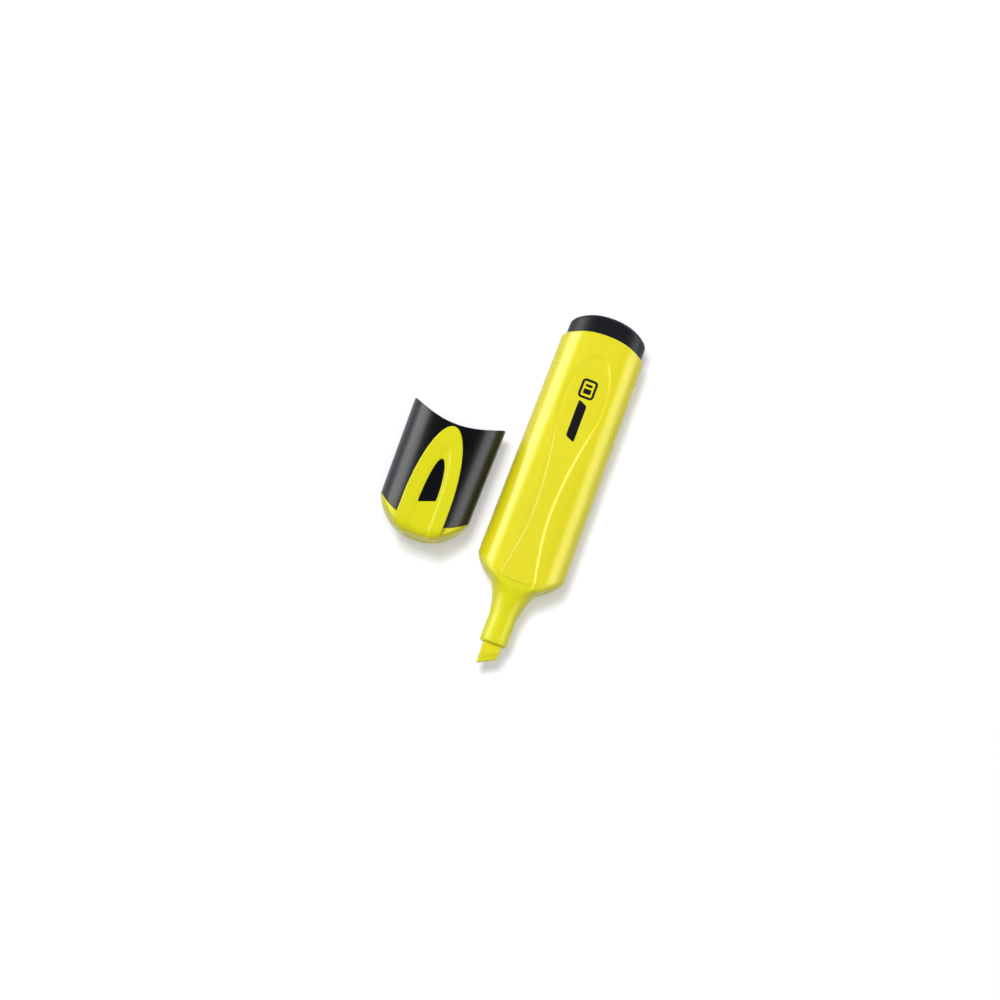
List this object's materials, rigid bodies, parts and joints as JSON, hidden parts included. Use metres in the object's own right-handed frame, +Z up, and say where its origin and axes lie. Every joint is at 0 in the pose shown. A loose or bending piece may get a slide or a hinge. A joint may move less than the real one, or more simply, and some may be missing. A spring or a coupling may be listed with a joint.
{
  "type": "highlighter",
  "caption": "Flat oval highlighter with a chisel nib, its cap taken off and laid beside it; the cap has an arched pocket clip.",
  "frame": {"origin": "on the table, under the middle of the pen and its cap together", "axes": "+X along the pen from its rear plug to its nib, +Y from the cap towards the pen, +Z up from the table through the wide faces"},
  "size_m": [0.1142, 0.063, 0.0198],
  "materials": {
    "barrel_yellow": "glossy moulded plastic, bright yellow",
    "nose_yellow": "satin moulded plastic, bright yellow",
    "clip_yellow": "satin moulded plastic, bright yellow",
    "cap_black": "glossy moulded plastic, black",
    "plug_black": "satin moulded plastic, black",
    "nib_felt": "bonded fibre soaked with yellow ink",
    "ink_fibre": "fibre core soaked with yellow ink",
    "film": "thin milky film",
    "seal_white": "soft natural plastic"
  },
  "bodies": {
    "pen": {"barrel": "barrel_yellow", "nose": "nose_yellow", "nib": "nib_felt", "reservoir": "ink_fibre", "reservoir_film": "film", "rear_plug": "plug_black"},
    "cap": {"cap_shell": "cap_black", "cap_end": "clip_yellow", "inner_cap": "seal_white"},
    "clip": {"clip": "clip_yellow"}
  },
  "joints": [
    {"name": "cap_pull", "type": "slide", "parent": "pen", "child": "cap", "axis": [1, 0, 0], "range_m": [0, 0.0375]},
    {"name": "clip_flex", "type": "hinge", "parent": "cap", "child": "clip", "pos_m": [0.01975, -0.0166, 0.0189], "axis": [0, 1, 0], "range_deg": [0, 4], "stiffness_Nm_per_rad": 1}
  ]
}
